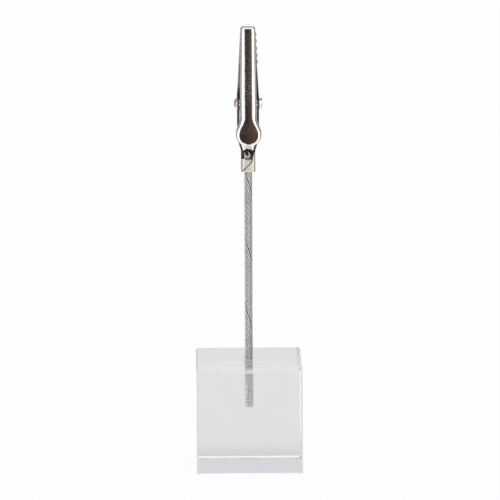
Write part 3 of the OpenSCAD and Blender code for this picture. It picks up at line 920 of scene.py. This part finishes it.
coil_start = 2 * math.pi + touch_angle(lever_leg, -1)
coil_sweep = coil_start - touch_angle(handle_leg, 1) + 2 * math.pi * SPRING_TURNS
coil_half = (SPRING_D + SPRING_GAP) * coil_sweep / (4 * math.pi)
coil_steps = math.ceil(coil_sweep / (2 * math.pi) * COIL_STEPS_PER_TURN)
first_touch = Vector((coil_r * math.cos(coil_start), coil_r * math.sin(coil_start)))
path = [(-coil_half, *mix(lever_leg, first_touch, step / LEG_STEPS)) for step in range(LEG_STEPS)]
for step in range(coil_steps + 1):
    turn = coil_start - coil_sweep * step / coil_steps
    path.append((
        mix(-coil_half, coil_half, step / coil_steps), coil_r * math.cos(turn), coil_r * math.sin(turn)))
last_touch = Vector(path[-1][1:])
path += [(coil_half, *mix(last_touch, handle_leg, step / LEG_STEPS)) for step in range(1, LEG_STEPS + 1)]
wire_path = bpy.data.curves.new("torsion_spring", "CURVE")
wire_path.dimensions = "3D"
wire_path.bevel_depth = SPRING_D / 2
wire_path.bevel_resolution = 4
wire_path.use_fill_caps = True
spline = wire_path.splines.new("POLY")
spline.points.add(len(path) - 1)
for point, (across, depth, height) in zip(spline.points, path):
    point.co = (across, depth + BITE_Y, height + RIVET_Z, 1)
spring = bpy.data.objects.new("torsion_spring", wire_path)
bpy.context.scene.collection.objects.link(spring)
bpy.ops.object.select_all(action="DESELECT")
spring.select_set(True)
bpy.context.view_layer.objects.active = spring
bpy.ops.object.convert(target="MESH")
spring = bpy.context.object
spring.data.transform(CLIP_PLACE)
smooth(spring, 50)

spring_wire, shader, place = new_material("spring_wire", Metallic=1)
scale_marks = place.noise(0.5 * MM, 4, 0.6)
feed(
    shader,
    Base_Color=scale_marks.blend((0.58, 0.57, 0.55, 1), (0.42, 0.41, 0.4, 1)),
    Roughness=0.22 + 0.2 * scale_marks,
    Normal=scale_marks.bumps(0.003 * MM))
stands_for(spring, "torsion_spring", "spring", "spring_steel", spring_wire)
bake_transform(spring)


# The studio: a white sweep under and behind the holder, pale light from all round, two soft boxes
# at the sides and one behind. The bright metal also mirrors a dark flag in front, on the camera's
# side, a dark mat far behind, and dim walls on both sides. These are painted reflections: only the
# metal sees them, painted into the paper and the world.
FLOOR_FRONT = -0.62
FLOOR_BACK = 2.4
FLOOR_HALF = 1.6
FLOOR_SINK = 0.05 * MM
FLOOR_WHITE = (0.72, 0.72, 0.72, 1)
PAINTED_MAT_DARK = (0.07, 0.062, 0.058, 1)
LEFT_DIM = (0.36, 0.345, 0.33, 1)
RIGHT_DIM = (0.3, 0.28, 0.26, 1)
FLAG_X = 0.05
FLAG_HALF = 0.26
FOOT_EDGE = 0.1 * MM

floor = fresh(bpy.ops.mesh.primitive_plane_add, size=1)
floor.name = "white_sweep"
floor.scale = (2 * FLOOR_HALF, FLOOR_BACK - FLOOR_FRONT, 1)
floor.location = (0, (FLOOR_BACK + FLOOR_FRONT) / 2, -FLOOR_SINK)
bpy.ops.object.transform_apply(location=True, scale=True)
paper, shader, place = new_material("white_paper", Roughness=0.9, Specular_IOR_Level=0)
fibre = place.noise(2 * MM, 3)
feed(shader, Base_Color=fibre.blend(FLOOR_WHITE, (0.75, 0.75, 0.75, 1)))
x = place.along("X")
y = place.along("Y")
to_camera = place.ray("Camera")
through_block = place.ray("Transmission")
in_metal = place.ray("Glossy") * (1 - through_block)
# The paper's brightness differs for what is seen through the block and what the metal mirrors.
# Seen through the block it has a painted shadow round the block's foot and painted light to its
# left; in the metal it shows painted reflections of dim walls at the sides and a dark mat behind.
# Painted shadow: seen through the block, the paper darkens round the block's foot, but not right under
# it.
painted_block_shadow = abs(x).rise(28 * MM, 12 * MM) * abs(y).rise(28 * MM, 12 * MM)
painted_wall_reflection = (abs(x) - 0.35 * abs(y)).rise(50 * MM, 150 * MM) * y.rise(-120 * MM, -40 * MM)
# Painted light: seen through the block, the paper is brighter to the block's left.
painted_light_beside_block = x.rise(-HALF_BLOCK, -14 * MM) * x.rise(-160 * MM, -120 * MM)
painted_light_beside_block = painted_light_beside_block * abs(y).rise(40 * MM, 30 * MM)
footprint = abs(x).rise(HALF_BLOCK + FOOT_EDGE, HALF_BLOCK - FOOT_EDGE)
footprint = footprint * abs(y).rise(HALF_BLOCK + FOOT_EDGE, HALF_BLOCK - FOOT_EDGE)
glow = (painted_block_shadow * through_block).blend(WHITE, (0.84, 0.84, 0.845, 1))
glow = (footprint * through_block).blend(glow, WHITE)
glow = (painted_light_beside_block * through_block).blend(glow, (1.5, 1.5, 1.5, 1))
# Painted reflections: in the metal the paper shows dim walls at the sides and a dark mat behind.
glow = (painted_wall_reflection * in_metal).blend(glow, x.rise(-0.1, 0.1).blend(LEFT_DIM, RIGHT_DIM))
painted_mat_reflection = y.rise(0.12, 0.2) * (abs(x) - 0.16 * y).rise(0.16, 0.08)
glow = (painted_mat_reflection * in_metal).blend(glow, PAINTED_MAT_DARK)
lit_paper = place.node("ShaderNodeEmission", None, {"Color": glow, "Strength": 1})
plain_paper = Shade(place.tree, shader.outputs[0])
share = 0.95 * to_camera + (0.8 + 0.15 * painted_mat_reflection) * in_metal + 0.75 * through_block
mixed = place.node("ShaderNodeMixShader", None, {0: share, 1: plain_paper, 2: lit_paper})
output = paper.node_tree.nodes["Material Output"]
paper.node_tree.links.new(mixed.socket, output.inputs["Surface"])
floor.data.materials.append(paper)

world = bpy.data.worlds.new("studio")
bpy.context.scene.world = world
world.use_nodes = True
way = Shade(world.node_tree).node("ShaderNodeTexCoord", output="Generated")
x = way.along("X")
y = way.along("Y")
z = way.along("Z")
to_camera = way.ray("Camera")
through_block = way.ray("Transmission")
in_metal = way.ray("Glossy") * (1 - through_block)
# So does the room's: a bright strip and a pale band for the block, dim and dark shapes for the metal.
behind = y.rise(0.3, 0.8)
strip = behind * z.rise(0.2525, 0.2555) * z.rise(0.34, 0.3) * abs(x).rise(0.16, 0.08)
level = strip.blend((0.95, 0.95, 0.95, 1), (2, 2, 2, 1))
level = (behind * z.rise(0.2535, 0.2515)).blend(level, (0.83, 0.84, 0.88, 1))
level = z.rise(0.85, 0.92).blend(level, (0.9, 0.9, 0.92, 1))
level = through_block.blend((0.85, 0.85, 0.85, 1), level)
level = in_metal.blend(level, (behind * z.rise(0.3, 0.26)).blend(WHITE, (1.08, 1.08, 1.08, 1)))
# Painted reflections: dim walls, a dark mat and a dark flag that only the metal sees.
dim = y.rise(-0.35, -0.1) * x.math("MAXIMUM", abs(x).rise(0.3, 0.45), z.rise(0.4, 0.7))
level = (dim * in_metal).blend(level, x.rise(-0.1, 0.1).blend(LEFT_DIM, RIGHT_DIM))
painted_mat_reflection = y.rise(0.3, 0.5) * z.rise(0.14, 0.05) * abs(x).rise(0.24, 0.18)
level = (painted_mat_reflection * in_metal).blend(level, PAINTED_MAT_DARK)
flag = abs(x - FLAG_X).rise(FLAG_HALF + 0.03, FLAG_HALF - 0.03) * y.rise(0.1, -0.1)
flag = flag * z.rise(-0.24, -0.18) * z.rise(0.62, 0.5) * in_metal
clutter = way.noise(0.02, 4, 0.65).rise(0.38, 0.62)
flag_left = clutter.blend((0.01, 0.009, 0.009, 1), (0.045, 0.041, 0.043, 1))
flag_right = clutter.blend((0.025, 0.014, 0.009, 1), (0.16, 0.092, 0.058, 1))
flag_colour = x.rise(FLAG_X - 0.04, FLAG_X + 0.04).blend(flag_left, flag_right)
level = flag.blend(level, flag_colour)
level = to_camera.blend(level, WHITE)
background = world.node_tree.nodes["Background"]
world.node_tree.links.new(level.socket, background.inputs["Color"])

SOFT_BOXES = (
    ("left_box", (-0.75, -0.65, 0.3), (0.6, 0.9), 1.15),
    ("right_box", (0.75, -0.65, 0.3), (0.6, 0.9), 1.15),
    ("back_box", (0.15, 1.1, 0.85), (1.2, 0.7), 1.25))
BOX_AIM = Vector((0, 0, 0.06))
for name, spot, size, brightness in SOFT_BOXES:
    lamp = bpy.data.lights.new(name, "AREA")
    lamp.shape = "RECTANGLE"
    lamp.size, lamp.size_y = size
    lamp.energy = brightness * math.pi * size[0] * size[1]
    box = bpy.data.objects.new(name, lamp)
    box.location = spot
    box.rotation_euler = (BOX_AIM - Vector(spot)).to_track_quat("-Z", "Y").to_euler()
    bpy.context.scene.collection.objects.link(box)


# The camera: a long lens, a little left of the block's front and a little above it, as in the
# photograph. Its height is set so that the whole holder stands in the picture.
CAMERA_AZIMUTH = math.radians(-0.8)
CAMERA_ELEVATION = math.radians(12.5)
CAMERA_ROLL = math.radians(-0.2)
CAMERA_DISTANCE = 1500 * MM
CAMERA_TARGET = Vector((0.35, 0, 50.71)) * MM
SENSOR_WIDTH = 36
FOCAL_LENGTH = 465

lens = bpy.data.cameras.new("camera")
lens.sensor_width = SENSOR_WIDTH
lens.lens = FOCAL_LENGTH
lens.clip_start = 0.01
lens.clip_end = 20
camera = bpy.data.objects.new("camera", lens)
away = Vector((
    math.sin(CAMERA_AZIMUTH) * math.cos(CAMERA_ELEVATION),
    -math.cos(CAMERA_AZIMUTH) * math.cos(CAMERA_ELEVATION),
    math.sin(CAMERA_ELEVATION)))
camera.location = CAMERA_TARGET + CAMERA_DISTANCE * away
facing = (-away).to_track_quat("-Z", "Y").to_matrix() @ Matrix.Rotation(CAMERA_ROLL, 3, "Z")
camera.rotation_euler = facing.to_euler()
bpy.context.scene.collection.objects.link(camera)
bpy.context.scene.camera = camera
bpy.context.scene.view_settings.view_transform = "Standard"
